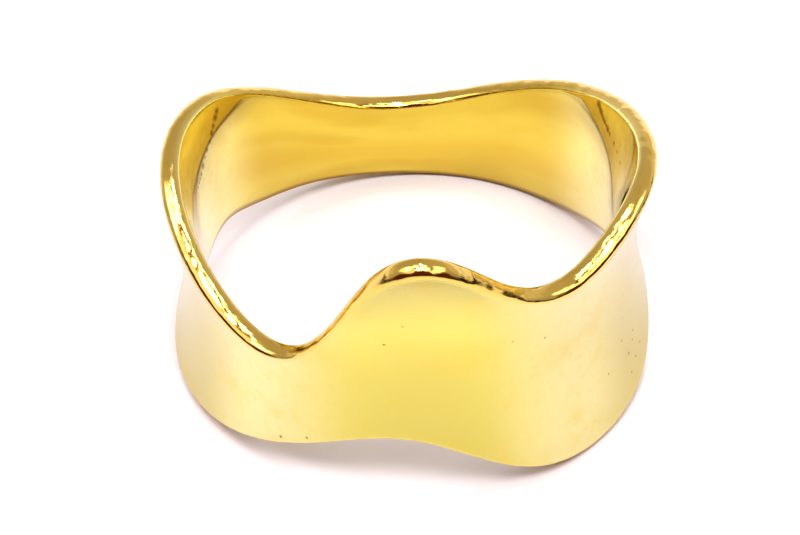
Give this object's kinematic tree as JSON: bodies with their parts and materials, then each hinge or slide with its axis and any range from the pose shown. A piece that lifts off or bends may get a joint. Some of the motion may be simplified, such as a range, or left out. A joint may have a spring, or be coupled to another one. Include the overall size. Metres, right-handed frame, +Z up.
{
  "type": "wavy band ring",
  "caption": "Wide finger ring of one waved band with a hollow-bowed wall and domed edges: tall wave at the front, narrow back, lying on its side.",
  "frame": {"origin": "where the axis of the finger hole meets the surface that the ring lies on", "axes": "+Z up along the finger hole, +X to the viewer's right, -Y through the tall wave of the front"},
  "size_m": [0.0204, 0.0212, 0.0153],
  "materials": {
    "plating": "polished"
  },
  "bodies": {
    "root": {"ring_band": "plating"}
  },
  "joints": []
}
